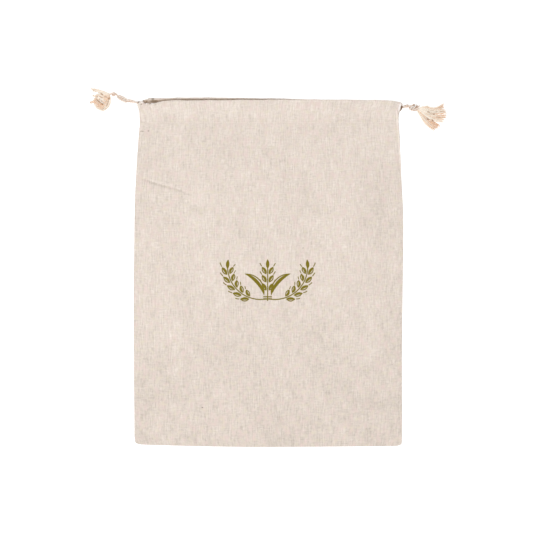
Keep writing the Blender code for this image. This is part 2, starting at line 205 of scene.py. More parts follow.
# %% Routes of the drawstrings, in millimetres
CORD_DIAMETER = 2.0
LEFT_CORD_ROUTE = [
    (-157.3, 193, 3.5), (-153.5, 192.1, 4.6), (-150, 190.8, 5.5), (-146, 188.6, 6),
    (-142.5, 185.7, 7), (-139, 184.6, 8.9), (-134, 184.9, 9.8), (-125, 186.1, 10.3),
    (-116, 187.5, 10.9), (-85, 188.8, 12.3), (-45, 188.8, 12.9), (0, 190, 13.1),
    (50, 190.7, 12.9), (95, 190.4, 12), (125, 189.9, 10.4), (140, 189, 9.3),
    (146.2, 188.3, 8.6), (149.4, 187.9, 6.6), (149.9, 187.4, 5), (148.9, 187, 3.5),
    (145.5, 186.8, 2.5), (140, 187.1, 2.5), (115, 188.8, 2.5), (81, 190.2, 2.5),
    (36, 191.5, 2.5), (-20, 192.6, 2.5), (-54, 193.2, 2.5), (-88, 193.5, 2.5),
    (-120, 193.2, 2.5), (-133, 192.7, 2.5), (-139, 191.3, 2.5), (-145, 190.4, 2.5),
    (-149.5, 190.4, 2.3), (-153.5, 190.9, 1.6), (-157.3, 191.2, 1.4),
]
RIGHT_CORD_ROUTE = [
    (157.2, 187.2, 3.4), (153.5, 186, 4.9), (150, 185.1, 7), (145.5, 185.7, 8.5),
    (140, 186.4, 9.2), (125, 187.3, 10.3), (95, 187.8, 12), (50, 188, 12.9),
    (0, 187.3, 13.1), (-45, 186.2, 12.9), (-85, 186.2, 12.2), (-116, 184.8, 10.8),
    (-130, 182.8, 9.9), (-136, 182.1, 9.4), (-140.5, 182.2, 8.5), (-143.2, 183.1, 6.9),
    (-144, 184.7, 5.3), (-143.2, 186.3, 3.9), (-140.5, 187.7, 2.8), (-136, 189.3, 2.5),
    (-128, 190.2, 2.5), (-110, 190.7, 2.5), (-88, 190.9, 2.5), (-54, 190.6, 2.5),
    (-20, 190, 2.5), (36, 188.9, 2.5), (81, 187.6, 2.5), (115, 186.2, 2.5),
    (138, 184.6, 2.5), (145, 184, 2.5), (149.5, 184.3, 2.4), (153.5, 185, 1.7),
    (157.2, 185.3, 1.4),
]

# %% Lay three strands round a route
STRANDS = 3
STRAND_SHARE = 0.464
LAY_LENGTH = 6.5 * MM
CORD_STEP = 0.5 * MM
CORD_SIDES = 8


def laid_cord(line, diameter, lay=LAY_LENGTH, sides=CORD_SIDES):
    """The strands of a cord round a line: three tubes that touch and wind round each other.

    On its map, the way round each strand is counted from the side that faces out of the cord.
    """
    side, up = across(line)
    strand = STRAND_SHARE * diameter / 2
    off_middle = diameter / 2 - strand
    tubes = []
    for k in range(STRANDS):
        turn = (2 * math.pi * (distances(line) / lay + k / STRANDS))[:, None]
        out = np.cos(turn) * side + np.sin(turn) * up
        beside = np.cos(turn) * up - np.sin(turn) * side
        tubes.append(tube(line + out * off_middle, strand * 1.06, sides, (out, beside)))
    return tubes


def make_drawstring(name, route):
    line = smooth_route(np.array(route) * MM, CORD_STEP)
    cord = piece_of_tubes(name, laid_cord(line, CORD_DIAMETER * MM))
    print(f"{name}: {distances(line)[-1]:.3f} m long")
    return cord, line


left_cord, left_line = make_drawstring("left_cord", LEFT_CORD_ROUTE)
right_cord, right_line = make_drawstring("right_cord", RIGHT_CORD_ROUTE)

# %% [markdown]
# ## The knots
#
# The cord's two ends are tied together in one overhand knot at each side. Seen from above, such
# a knot is a lump with two or three slanting wraps. It is made as the hand makes it: a length of
# the same laid cord is wound round the ends. The left cord has a second, small loop after a
# short neck.


# %% Wind a wrap round an axis
def wrap(start, end, half_width, half_height, turns, slant, first=0.0):
    """A route that winds round the axis from start to end. slant leans the wraps over sideways."""
    start, end = np.array(start, float), np.array(end, float)
    way = (end - start) / np.linalg.norm(end - start)
    side = np.array([-way[1], way[0], 0.0])
    side /= np.linalg.norm(side)
    t = np.linspace(0, 1, round(turns * 16) + 1)[:, None]
    angle = 2 * math.pi * turns * t + first
    swell = 0.82 + 0.18 * np.sin(math.pi * t)
    ring = side * np.cos(angle) * half_width + np.array([0, 0, 1.0]) * np.sin(angle) * half_height
    return start + (end - start) * t + ring * swell + way * np.cos(angle) * slant


def flat_loop(middle, radius, turns, first, low, high):
    """A route that curls round once or more, nearly flat, rising from low to high."""
    t = np.linspace(0, 1, round(turns * 14) + 1)
    angle = first + 2 * math.pi * turns * t
    return np.stack(
        [middle[0] + radius * np.cos(angle), middle[1] + radius * np.sin(angle), low + (high - low) * t],
        axis=1,
    )


# %% Knots, in millimetres: the cord's thickness and its route
LEFT_KNOT = [
    (1.9, [(-157.4, 192, 2.4), (-161, 193, 2.8), (-165, 194.6, 2.8), (-168.6, 196.6, 2.5),
           (-170.6, 199, 2.2), (-172, 200.4, 2)]),
    (2, [(-157.2, 191.6, 2.2), (-160, 190.8, 3), (-164, 192.2, 3.6), (-167.8, 194.6, 3.4),
           (-169.4, 196.6, 2.6), (-168.2, 197.8, 3.2), (-165.2, 196.8, 4), (-161.4, 194.9, 4.2),
           (-158.9, 193.4, 3.4)]),
    (1.9, [(-159.4, 191.2, 1.5), (-158.6, 193.2, 3), (-160.8, 194.4, 4.4), (-162.2, 191.9, 4.7),
           (-160.8, 190.4, 3)]),
    (1.5, flat_loop((-173.8, 199.2), 1.8, 1.3, 0.9, 1.4, 3.8)),
    (1.6, [(-171.8, 200.4, 1.2), (-173.8, 199.2, 1.1), (-175.4, 197.8, 1.2)]),
    (1.7, [(-174.9, 200.6, 1.6), (-176.6, 199.8, 2.2), (-178.8, 198.7, 2.4)]),
]
RIGHT_KNOT = [
    (2, [(157.5, 186.3, 2.5), (160, 186, 3.2), (163.5, 185, 3.4), (167.5, 183.6, 2.8),
           (170, 182.5, 2.4)]),
    (2.1, wrap((159.9, 185.6, 3.1), (166.9, 184, 3.1), 3.1, 2, 2.35, 2.4, first=4.2)),
    (2, [(158.2, 185.4, 2.2), (160, 182.6, 2), (163, 181.2, 2.2), (166, 181.4, 2.4),
           (168.6, 182.8, 2.2)]),
]


def knot_tubes(parts):
    tubes = []
    for thickness, route in parts:
        line = smooth_route(np.array(route, float) * MM, 0.4 * MM)
        tubes += laid_cord(line, thickness * MM, lay=5.0 * MM)
    return tubes


# %% [markdown]
# ## The threads of the tassels
#
# Past its knot each cord is combed out into its threads. They keep the kinks of the lay, fan
# out, and come to rest on the table in locks. Each lock is given by the routes of its two edges,
# and its threads are spread between them with small seeded differences in place, height, kink
# and length. Loose hairs, much finer than the threads, soften the outline.

# %% Locks of thread, in millimetres: points down one edge, points down the other, threads, height
LEFT_LOCKS = [
    ([(-178.6, 199.8), (-183.5, 202), (-190, 204.2), (-199.6, 206.4)],
     [(-178.6, 198.4), (-184, 199.6), (-190.5, 201.4), (-197.4, 202.8)], 12, 4.4),
    ([(-178.4, 197.6), (-179, 195), (-180.6, 191.5), (-184, 187)],
     [(-179, 198), (-182.2, 195.6), (-184.6, 192.2), (-188.6, 188.2)], 8, 1.8),
    ([(-178.8, 198.6), (-186, 200.4), (-193.6, 198.8), (-194.6, 195.6), (-188.4, 190.4), (-181.6, 185)],
     [(-178.6, 198.2), (-181, 198.8), (-184.2, 198.2), (-184.9, 196.9), (-182, 194.6), (-178.4, 191.6)],
     13, 5.4),
    ([(-178.6, 198), (-185, 197.6), (-194.2, 195.4), (-196.4, 191.4), (-191.4, 186.6), (-185.8, 182)],
     [(-178.6, 198), (-182, 197), (-188.8, 195.6), (-190.8, 193.4), (-187.4, 190), (-181.4, 185.8)],
     10, 4.2),
    ([(-178.2, 197.8), (-176.8, 194), (-177.3, 188.6), (-180.6, 183.4), (-186.6, 179.8)],
     [(-178.4, 197.8), (-180, 193.8), (-182.8, 189.4), (-186.6, 185.6), (-191, 183.2)], 11, 4.2),
    ([(-178.2, 197.8), (-177.6, 191.5), (-181.5, 184.5), (-188, 180.8), (-194, 184), (-196.4, 189.6)],
     [(-178.6, 197.8), (-181, 192.4), (-184.4, 189), (-187.6, 187.6), (-190, 189.4), (-191, 192)],
     12, 2.4),
    ([(-178.8, 198.4), (-185, 197), (-191, 193.4), (-201.2, 191.8)],
     [(-178.6, 198), (-184, 195), (-190, 190.8), (-199.6, 188.8)], 5, 2),
    ([(-178.8, 198.6), (-185, 198.6), (-191, 197), (-198.2, 198.4)],
     [(-178.8, 198.4), (-185, 197.2), (-190.4, 195.2), (-197, 196.6)], 3, 2.4),
]
RIGHT_LOCKS = [
    ([(168.6, 183.6), (172.6, 184.8), (178.6, 185.9), (184.8, 184.2), (191, 186), (197.8, 189.6)],
     [(168.8, 183.2), (174.4, 183.2), (180.4, 182.6), (186.4, 181.4), (191.8, 182.2), (197.6, 184.2)],
     12, 4),
    ([(168.8, 183.2), (175, 183.4), (181.4, 181.2), (189, 182), (198.8, 183.4)],
     [(168.8, 182.8), (175, 181.2), (181.6, 178.2), (190.2, 177.4), (201.6, 177.4)], 13, 5),
    ([(168.6, 182.8), (174.6, 180.8), (181.8, 178.4), (190.4, 176), (201.4, 176.8)],
     [(168.4, 182.4), (173.2, 178.2), (179.4, 172.6), (186.6, 169), (197, 167.8)], 15, 4.2),
    ([(168.2, 182.2), (173, 178), (179.6, 173.4), (186.6, 169), (194.4, 163.6)],
     [(167.4, 181.2), (170.2, 175.6), (174.4, 169.4), (179, 163.6), (185.8, 158.6)], 14, 3.8),
    ([(168.8, 183.4), (175.2, 184), (181.8, 181), (187.4, 176.4), (192.6, 170.2)],
     [(168.4, 182.2), (174, 177.8), (182, 176.8), (189.4, 179.4), (197, 180.4)], 6, 5.4),
]

# %% One thread of a lock
THREAD_STEP = 0.7 * MM
KINK_LENGTH = 5.0 * MM
KINK = 0.24 * MM
ROOT_HEIGHT = 2.4
LOWEST_THREAD = 0.72
STRAYING = 0.22


def thread_line(first_edge, last_edge, share, reach, height, dice):
    """One thread between a lock's edges, with the kinks that the cord's lay left in it."""
    flat = np.array(first_edge) * (1 - share) + np.array(last_edge) * share
    flat[1:] += dice.normal(0, STRAYING, (len(flat) - 1, 2))
    flat[-1] = flat[-2] + (flat[-1] - flat[-2]) * reach
    down = np.linspace(0, 1, len(flat))
    pile = np.sin(math.pi * np.minimum(down * 1.25, 1.0) * 0.5)
    resting = LOWEST_THREAD + height * (1 - 0.75 * down)
    z = ROOT_HEIGHT + (resting - ROOT_HEIGHT) * pile
    line = smooth_route(np.column_stack([flat, z]) * MM, THREAD_STEP)
    side, up = across(line)
    along = distances(line)
    settle = np.minimum(along / (6 * MM), 1)[:, None]
    turn = 2 * math.pi * (along / (KINK_LENGTH * dice.uniform(0.8, 1.3)) + dice.uniform())
    kink = side * np.sin(turn)[:, None] + up * np.cos(turn)[:, None] * 0.5
    line = line + kink * KINK * settle * dice.uniform(0.5, 1.3)
    line[:, 2] = np.maximum(line[:, 2], LOWEST_THREAD * MM)
    return line


# %% Threads and hairs of one tassel
THREAD_RADIUS = 0.62 * MM
HAIR_RADIUS = 0.08 * MM
HAIRS = 44
THREAD_REACH = (0.7, 1.08)
HAIR_REACH = (0.8, 1.25)
PILE = (0.25, 1.0)
THICK_AND_THIN = (0.75, 1.15)


def tassel_tubes(locks, seed):
    """All threads of the locks, and the fine hairs that stray between them."""
    dice = np.random.default_rng(seed)
    tubes = []
    for first_edge, last_edge, count, height in locks:
        for i in range(count):
            share = (i + dice.uniform(0.2, 0.8)) / count
            reach, resting = dice.uniform(*THREAD_REACH), height * dice.uniform(*PILE)
            line = thread_line(first_edge, last_edge, share, reach, resting, dice)
            t = np.linspace(0, 1, len(line))
            radius = THREAD_RADIUS * dice.uniform(*THICK_AND_THIN) * (1 - 0.5 * t**5)
            tubes.append(tube(line, radius, 7))
    for _ in range(HAIRS):
        first_edge, last_edge, count, height = locks[dice.integers(len(locks))]
        share, reach = dice.uniform(-0.12, 1.12), dice.uniform(*HAIR_REACH)
        line = thread_line(first_edge, last_edge, share, reach, height, dice)
        start = len(line) // 3
        tubes.append(tube(line[start:], HAIR_RADIUS, 3))
    return tubes


left_tassel = piece_of_tubes("left_tassel", knot_tubes(LEFT_KNOT), tassel_tubes(LEFT_LOCKS, 4))
right_tassel = piece_of_tubes("right_tassel", knot_tubes(RIGHT_KNOT), tassel_tubes(RIGHT_LOCKS, 9))

# %% [markdown]
# ## The shape of the two cloths
#
# Linen lies in long, gentle waves, and it is sewn exactly where it is straightest. So each cloth
# is set out in rows and columns from its outline, its height over the table and small additions:
# waves, a crease, gathers near the left corner and puckers along the seams. The top of the cloth
# goes up over the cord, turns, and comes back down inside to a little below the stitch line.

# %% Outlines, in millimetres: (y, x) down each side, (x, y) along the top and the foot
LEFT_SIDE = [
    (-196, -147.5), (-191, -149.6), (-185, -150.4), (-167, -150.5), (-99, -151), (-32, -151.2),
    (35, -150.6), (80, -149.9), (102, -148.8), (125, -147.6), (148, -145.8), (159, -144.9),
    (166, -144.1), (179, -144.7), (184, -146), (188, -147.2), (193, -147.4),
]
BACK_CORNER_DRAWN_IN = [(178, 0), (186, 1), (188.5, 3.2), (190.5, 5.2), (193, 7.4), (195.5, 9.4)]
BACK_RIGHT_SIDE = [
    (-196, 149.5), (-191, 150.4), (-167, 150.6), (-144, 150.5), (-100, 150.4), (-32, 151),
    (13, 151.6), (58, 151.8), (103, 149.8), (125, 149), (136, 148.5), (147, 148), (159, 147.1),
    (170, 146.5), (178, 147.3), (180, 148), (181, 149.2), (182, 150.2), (184, 150.8), (186, 150.9),
    (190, 150.5),
]
FRONT_RIGHT_SIDE = [
    (-196, 149.1), (-191, 150.4), (-167, 150.6), (-144, 150.5), (-100, 150.4), (-32, 151),
    (13, 151.8), (58, 152), (103, 149.9), (125, 149.1), (136, 148.5), (147, 148), (159, 147),
    (170, 146.3), (178, 146.5), (181, 147.7), (182.2, 148.3), (185, 148.7), (187, 149.8), (191, 151.2),
]
FRONT_TOP = [
    (-148, 188.6), (-144.5, 190.8), (-141.9, 191.6), (-139.3, 189.6), (-137.6, 188), (-136.4, 188.8),
    (-134.4, 188.9), (-132.6, 188.1), (-130.6, 188.8), (-128.6, 188.9), (-126, 189.4), (-122, 190.5),
    (-116, 191.4), (-105, 192.1),
    (-85, 192), (-36, 192.4), (-3, 192.7), (30, 192.9), (64, 192.8), (97, 192.5), (126, 192.3),
    (140, 191.6), (146, 190.6), (150, 189.4), (152, 188.6),
]
BACK_TOP = [
    (-148, 191.9), (-143, 192.2), (-139, 193.1), (-136.5, 193.8), (-133, 195.3), (-125, 195.2),
    (-116, 195), (-100, 195.5), (-80, 195.7), (-54, 195.6), (-20, 195), (13, 194.5), (36, 194),
    (50, 193.2), (81, 192.2), (115, 191), (150, 188.6),
]
FOOT = [
    (-150, -193), (-146, -194.4), (-140, -194.9), (-122, -195.4), (-77, -196.6), (-9, -197.5),
    (36, -197.3), (114, -196.6), (144, -196.3), (148, -195.6), (150, -194.2),
]


# %% Curves through a table
def through(rows, at):
    """Values at the given places on the smooth curve through (place, value), with no overshoot."""
    places, values = np.array(rows, float).T
    widths, rises = np.diff(places), np.diff(values)
    slope = rises / widths
    slopes = np.zeros(len(places))
    slopes[0], slopes[-1] = slope[0], slope[-1]
    same_way = slope[:-1] * slope[1:] > 0
    total = np.where(same_way, slope[:-1] + slope[1:], 1.0)
    slopes[1:-1] = np.where(same_way, 2 * slope[:-1] * slope[1:] / total, 0.0)
    at = np.clip(at, places[0], places[-1])
    i = np.clip(np.searchsorted(places, at, side="right") - 1, 0, len(widths) - 1)
    t = (at - places[i]) / widths[i]
    start, end = slopes[i] * widths[i], slopes[i + 1] * widths[i]
    rise = rises[i]
    return values[i] + t * start + t * t * (3 * rise - 2 * start - end) + t**3 * (start + end - 2 * rise)


def ease(value, low, high):
    """0 below low, 1 above high, and a smooth rise between them."""
    t = np.clip((value - low) / (high - low), 0.0, 1.0)
    return t * t * (3 - 2 * t)


# %% Heights of the front cloth over the table, in millimetres
CLOTH = 0.7
SOLID_CLOTH = 1.0
SEAM_GAP = 0.3
FOLD_RADIUS = 2.0
HEM_TOP = 5.0
OPEN_MIDDLE = 5.6
OPEN_SIDE = 0.5
BODY_RISE = 6.0
HALF_WIDTH = 151.0
STITCH_LINE = 167.4
BACK_MIDDLE = 0.42
SEATED = 0.6


def hem_height(x):
    """Middle of the front's turned-in hem: the mouth stands a little open in the middle."""
    side = np.minimum(np.abs(x / HALF_WIDTH), 1.0) ** 3
    return HEM_TOP + OPEN_MIDDLE + (OPEN_SIDE - OPEN_MIDDLE) * side + SOLID_CLOTH / 2


def front_height(x, y):
    """Middle of the front's cloth at and below the stitch line, with its seams seated on the back."""
    side = np.minimum(np.abs(x / HALF_WIDTH), 1.0) ** 4
    rim = SOLID_CLOTH + SEAM_GAP + SOLID_CLOTH / 2
    body = rim + BODY_RISE * (1 - side) * ease(y, -195.0, -150.0)
    starts = 96.0 + (146.0 - 96.0) * side
    share = ease(y, starts, STITCH_LINE)
    return body + (hem_height(x) + SOLID_CLOTH - body) * share


# %% Waves, gathers and puckers, in millimetres
GATHER_FROM = -146.5
GATHER_TO = -92.0
GATHER_PITCH = 4.6
GROOVE_FROM = (-144.0, 104.6)
GROOVE_TO = (-80.0, 83.6)
GROOVE_SWAY = 9.0
WAVES = [
    # height, length across, length down, lean, start
    (0.42, 118.0, 260.0, 0.3, 0.4), (0.30, 74.0, -190.0, 0.0, 2.1), (0.22, 47.0, 310.0, 1.0, 4.4),
    (0.16, 190.0, 64.0, 0.0, 1.3), (0.10, 31.0, -120.0, 0.0, 5.2), (0.07, 21.0, 88.0, 0.0, 0.9),
]
UNDER_CHANNEL = [(0.22, 13.0, 0.0), (0.16, 8.3, 1.7), (0.12, 19.0, 4.0)]


def waves(x, y):
    """Long waves of cloth that lies loosely on what is under it."""
    total = 0.0
    for height, wide, long, lean, start in WAVES:
        total = total + height * np.sin(2 * math.pi * (x / wide + y / long) + start + lean * np.sin(y / 40))
    return total


def gather_share(x):
    """1 at the left corner, where the cord bunches the front's edge, falling to 0."""
    return (1 - ease(x, -138.0, GATHER_TO)) * ease(x, GATHER_FROM - 2, GATHER_FROM + 1)


def gather_wave(x):
    return np.sin(2 * math.pi * (x - GATHER_FROM + 1.2 * np.sin(x / 5.3)) / GATHER_PITCH)


def along_groove(x, y):
    """How far along the groove's line a place is, how far off it, and the line's length."""
    (x0, y0), (x1, y1) = GROOVE_FROM, GROOVE_TO
    length = math.hypot(x1 - x0, y1 - y0)
    dx, dy = x - x0, y - y0
    along = (dx * (x1 - x0) + dy * (y1 - y0)) / length
    return along, (dy * (x1 - x0) - dx * (y1 - y0)) / length, length


def groove(x, y):
    """The pressed line across the upper left of the front: a low bank, then a small valley in it."""
    along, off, length = along_groove(x, y)
    off = off + 0.5 * np.sin(along / GROOVE_SWAY)
    fade = ease(along, -2.0, 9.0) * (1 - ease(along, length - 26.0, length + 4.0))
    return fade * (0.7 * np.exp(-((off / 7.0) ** 2)) - 0.85 * np.exp(-((off / 1.6) ** 2)))


def front_relief(x, y, from_side, from_foot):
    """What the front's surface adds to its plain height."""
    free = ease(from_side, 0.0, 22.0) * ease(from_foot, 0.0, 22.0)
    relief = waves(x, y) * free + groove(x, y)
    for height, pitch, start in UNDER_CHANNEL:
        fall = np.exp(-np.abs(y - STITCH_LINE) / 16.0)
        relief += height * np.sin(2 * math.pi * x / pitch + start) * fall * ease(from_side, 0, 14)
    gather = 0.45 * gather_wave(x) + 0.4 * np.maximum(gather_wave(x), 0) ** 2
    relief += gather * gather_share(x) * ease(y, 174.0, 187.0)
    relief += 0.09 * np.sin(2 * math.pi * y / 7.5) * np.exp(-from_side / 4.0)
    relief += 0.08 * np.sin(2 * math.pi * x / 8.5) * np.exp(-from_foot / 4.0)
    return relief


# %% Columns and rows of the cloths
COLUMNS = np.concatenate([
    [-150.0, -149.6, -149.0], np.arange(-148.2, -92.0, 0.85), np.linspace(-91.5, 138.0, 104),
    np.linspace(139.0, 149.0, 11), [149.6, 150.0],
])
BODY_ROWS = np.concatenate([
    [0.0, 0.0012, 0.003, 0.006, 0.01, 0.015, 0.021], np.linspace(0.029, 0.74, 78),
    np.linspace(0.743, 0.83, 38), np.linspace(0.836, 0.93, 14), np.linspace(0.938, 1.0, 14),
])
CHANNEL_ROWS = np.linspace(0.06, 0.97, 15)
FOLD_TURNS = np.linspace(0.0, math.pi, 11)
HEM_ROWS = np.linspace(0.94, -0.2, 13)
CHANNEL_SHAPE = [
    (-0.3, 0.0), (0.0, 1.0), (0.2, 1.7), (0.4, 2.6), (0.6, 3.35), (0.74, 3.78), (0.88, 4.0), (1.0, 4.0),
]
HEM_INSET = {"left": 9.0, "right": 4.5}
INSET_FADES_OVER = 26.0


def cloth_rows(is_front):
    """The middle of one cloth, row by row from its foot to the hem's edge, in millimetres."""
    a = COLUMNS
    share = (a + 150) / 300
    right_side = FRONT_RIGHT_SIDE if is_front else BACK_RIGHT_SIDE
    foot = through(FOOT, a)
    inset = HEM_INSET["left"] * np.clip(1 - (a + 150) / INSET_FADES_OVER, 0, 1)
    inset = inset - HEM_INSET["right"] * np.clip(1 - (150 - a) / INSET_FADES_OVER, 0, 1)
    from_side = 150 - np.abs(a)

    def place(y, turned=0.0):
        """x at height y. The turned-in layer is drawn in from the side; the back's only below its fold."""
        left, right = through(LEFT_SIDE, y), through(right_side, y)
        if not is_front:
            left = left + through(BACK_CORNER_DRAWN_IN, y)
        drawn_in = turned if is_front else turned * (1 - ease(y, 188.4, 189.6))
        return left + (right - left) * share + drawn_in * inset

    def channel(turned):
        """Where the fold's middle lies, and the height of the layer of the channel that lies flat."""
        x = place(place_of_top, turned)
        top = through(FRONT_TOP if is_front else BACK_TOP, x)
        top = top + 0.12 * np.sin(x / 6.1) + 0.08 * np.sin(x / 2.7 + 1.0)
        x = place(np.full_like(a, STITCH_LINE), turned)
        return top - FOLD_RADIUS - CLOTH / 2, hem_height(x) if is_front else np.full_like(a, BACK_MIDDLE)

    place_of_top = np.full_like(a, 187.0)
    for _ in range(3):
        place_of_top = through(FRONT_TOP if is_front else BACK_TOP, place(place_of_top))

    def seated(y):
        """How far the front comes down to the back along their seams."""
        near = 1 - ease(from_side, 0, 5) * ease(y - foot, 0, 5)
        return SEATED * near * (1 - ease(y, 150.0, 160.0))

    rows = []
    for t in BODY_ROWS:
        y = foot + (STITCH_LINE - foot) * t
        x = place(y)
        if is_front:
            z = front_height(x, y) - seated(y) + front_relief(x, y, from_side, y - foot)
        else:
            z = np.full_like(a, BACK_MIDDLE)
        rows.append((x, y, z))
    middle, flat = channel(0.0)
    for t in CHANNEL_ROWS:
        y = STITCH_LINE + (middle - STITCH_LINE) * t
        x = place(y)
        lift = through(CHANNEL_SHAPE, np.full_like(a, t)) if is_front else 0.0
        z = flat + lift + (front_relief(x, y, from_side, y - foot) if is_front else 0.0)
        rows.append((x, y, z))
    out = 1 if is_front else -1
    for turn in FOLD_TURNS:
        turned = turn / math.pi
        middle, flat = channel(turned)
        y = middle + FOLD_RADIUS * math.sin(turn)
        z = flat + FOLD_RADIUS + out * FOLD_RADIUS * math.cos(turn)
        if is_front:
            z = z + front_relief(place(y), y, from_side, y - foot) * math.cos(turn / 2)
        rows.append((place(y, turned), y, z))
    for t in HEM_ROWS:
        y = STITCH_LINE + (middle - STITCH_LINE) * t
        x = place(y, 1.0)
        if is_front:
            z = np.where(t > 0, flat, front_height(x, y) + front_relief(x, y, from_side, y - foot) - 0.95)
        else:
            z = flat + through(CHANNEL_SHAPE, np.full_like(a, t)) * (1.0 if t > 0 else 0.0)
            z = np.maximum(z, BACK_MIDDLE + 0.95)
        rows.append((x, y, z))
    return np.array(rows).transpose(0, 2, 1)


# %% [markdown]
# ## From rows of points to cloth
#
# The rows make one sheet with no thickness. Its map holds the flat cloth: how far across and how
# far up a thread is, in metres, so that the weave follows the cloth round the fold. Solidify then
# gives the sheet its thickness, with a second material slot for the inside, where no print is.


# %% Sheets of cloth
CLOTH_WIDTH = 0.302


def make_cloth(name, is_front):
    grid = cloth_rows(is_front) * MM
    rows, columns = grid.shape[:2]
    faces = [
        (i * columns + j, i * columns + j + 1, (i + 1) * columns + j + 1, (i + 1) * columns + j)
        for i in range(rows - 1)
        for j in range(columns - 1)
    ]
    if not is_front:
        faces = [face[::-1] for face in faces]
    middle_column = grid[:, columns // 2]
    up = distances(middle_column)
    flat = np.stack(np.broadcast_arrays(COLUMNS[None, :] * MM, up[:, None]), axis=2).reshape(-1, 2)
    cloth = new_piece(name, grid.reshape(-1, 3), faces, "flat", flat[np.array(faces).ravel()])
    deselect()
    cloth.select_set(True)
    bpy.context.view_layer.objects.active = cloth
    thickness = cloth.modifiers.new("thickness", "SOLIDIFY")
    thickness.thickness = CLOTH * MM
    thickness.offset = 0
    thickness.use_even_offset = True
    thickness.material_offset = 1
    bpy.ops.object.modifier_apply(modifier=thickness.name)
    print(f"{name}: {rows} rows x {columns} columns, {up[-1]:.3f} m of cloth from foot to hem edge")
    return cloth, (CLOTH_WIDTH, float(up[-1]))


front_cloth, front_flat = make_cloth("front_cloth", True)
back_cloth, back_flat = make_cloth("back_cloth", False)

# %% [markdown]
# ## Stitches
#
# One row of lockstitch closes the channel, and a short one crosses the foot of each side slit.
# One stitch is modelled: a round seed of thread, its ends pressed down to where the needle went
# in. It is copied along the rows, and each copy is turned the way that its row runs.

# %% One stitch
STITCH = 2.9
STITCH_RADIUS = 0.17
deselect()
bpy.ops.mesh.primitive_uv_sphere_add(segments=8, ring_count=8, radius=STITCH_RADIUS * MM)
stitch = bpy.context.object
bpy.ops.object.mode_set(mode="EDIT")
bpy.ops.mesh.select_all(action="SELECT")
bpy.ops.transform.rotate(value=math.pi / 2, orient_axis="Y", center_override=(0, 0, 0))
bpy.ops.transform.resize(value=(0.42 * STITCH / STITCH_RADIUS, 1, 1), center_override=(0, 0, 0))
bpy.ops.mesh.select_all(action="DESELECT")
bpy.ops.object.mode_set(mode="OBJECT")
for vertex in stitch.data.vertices:
    vertex.select = abs(vertex.co.x) > 0.3 * STITCH * MM
bpy.ops.object.mode_set(mode="EDIT")
bpy.ops.transform.translate(value=(0, 0, -0.12 * MM))
bpy.ops.object.mode_set(mode="OBJECT")
print("one stitch:", [round(side / MM, 2) for side in stitch.dimensions], "mm")


# %% Rows of stitches
def on_front(x, y):
    """Height of the front's face at a place, from a ray straight down, in metres."""
    hit, place, _, _ = front_cloth.ray_cast(Vector((x * MM, y * MM, 0.05)), Vector((0, 0, -1)))
    return place.z if hit else None


def stitch_row(points):
    """Copies of the stitch along straight runs between the points, in millimetres."""
    made = []
    for (x0, y0), (x1, y1) in zip(points, points[1:]):
        length = math.hypot(x1 - x0, y1 - y0)
        count = max(1, round(length / STITCH))
        for i in range(count):
            t = (i + 0.5) / count
            x, y = x0 + (x1 - x0) * t, y0 + (y1 - y0) * t
            height = on_front(x, y)
            if height is None:
                continue
            copy = stitch.copy()
            copy.data = stitch.data.copy()
            copy.location = (x * MM, y * MM, height + 0.02 * MM)
            copy.rotation_euler = (0, 0, math.atan2(y1 - y0, x1 - x0))
            bpy.context.scene.collection.objects.link(copy)
            made.append(copy)
    return made


def channel_row(start, end, y):
    """Places along the channel's stitch line, a little uneven as a hand guides it."""
    xs = np.linspace(start, end, 40)
    return [(x, y + 0.12 * math.sin(x / 17.0) + 0.06 * math.sin(x / 5.0)) for x in xs]


copies = stitch_row(channel_row(-143.6, 143.4, STITCH_LINE - 0.3))
copies += stitch_row([(-137.0, 187.0), (-136.6, 176.0), (-136.4, 158.4), (-144.8, 158.0)])
copies += stitch_row([(136.8, 190.0), (136.6, 176.0), (137.0, 158.4), (145.2, 158.0)])
deselect()
for copy in copies:
    copy.select_set(True)
bpy.context.view_layer.objects.active = copies[0]
bpy.ops.object.join()
stitches = bpy.context.object
stitches.name = stitches.data.name = "stitches"
bpy.ops.object.transform_apply(location=True, rotation=True, scale=True)
bpy.ops.object.shade_smooth()
bpy.data.objects.remove(stitch)
print(f"stitches: {len(copies)}")

# %% [markdown]
# ## Writing shaders as sums
#
# A material is a net of nodes, and most of them only add, multiply or compare. The class below
# wraps a node's output, so that `a * b + 1` adds the two Math nodes that it means. One method
# adds every other kind of node.


# %% Shader arithmetic
class Wire:
    """An output of a shader node. Arithmetic on it adds Math nodes."""

    def __init__(self, finish, socket):
        self.finish = finish
        self.socket = socket

    def math(self, operation, *others):
        inputs = dict(enumerate([self, *others]))
        return self.finish.node("Math", {"operation": operation}, inputs)

    def __add__(self, other):
        return self.math("ADD", other)

    def __sub__(self, other):
        return self.math("SUBTRACT", other)

    def __rsub__(self, other):
        return self.finish.node("Math", {"operation": "SUBTRACT"}, {0: other, 1: self})

    def __mul__(self, other):
        return self.math("MULTIPLY", other)

    def __truediv__(self, other):
        return self.math("DIVIDE", other)

    def __neg__(self):
        return self * -1.0

    def __abs__(self):
        return self.math("ABSOLUTE")

    __radd__ = __add__
    __rmul__ = __mul__

    def smaller(self, other):
        return self.math("MINIMUM", other)

    def larger(self, other):
        return self.math("MAXIMUM", other)

    def rise(self, low, high, start=0.0, end=1.0):
        """start below low, end above high, and a smooth change between them."""
        inputs = {"Value": self, "From Min": low, "From Max": high, "To Min": start, "To Max": end}
        return self.finish.node("MapRange", {"interpolation_type": "SMOOTHSTEP"}, inputs)


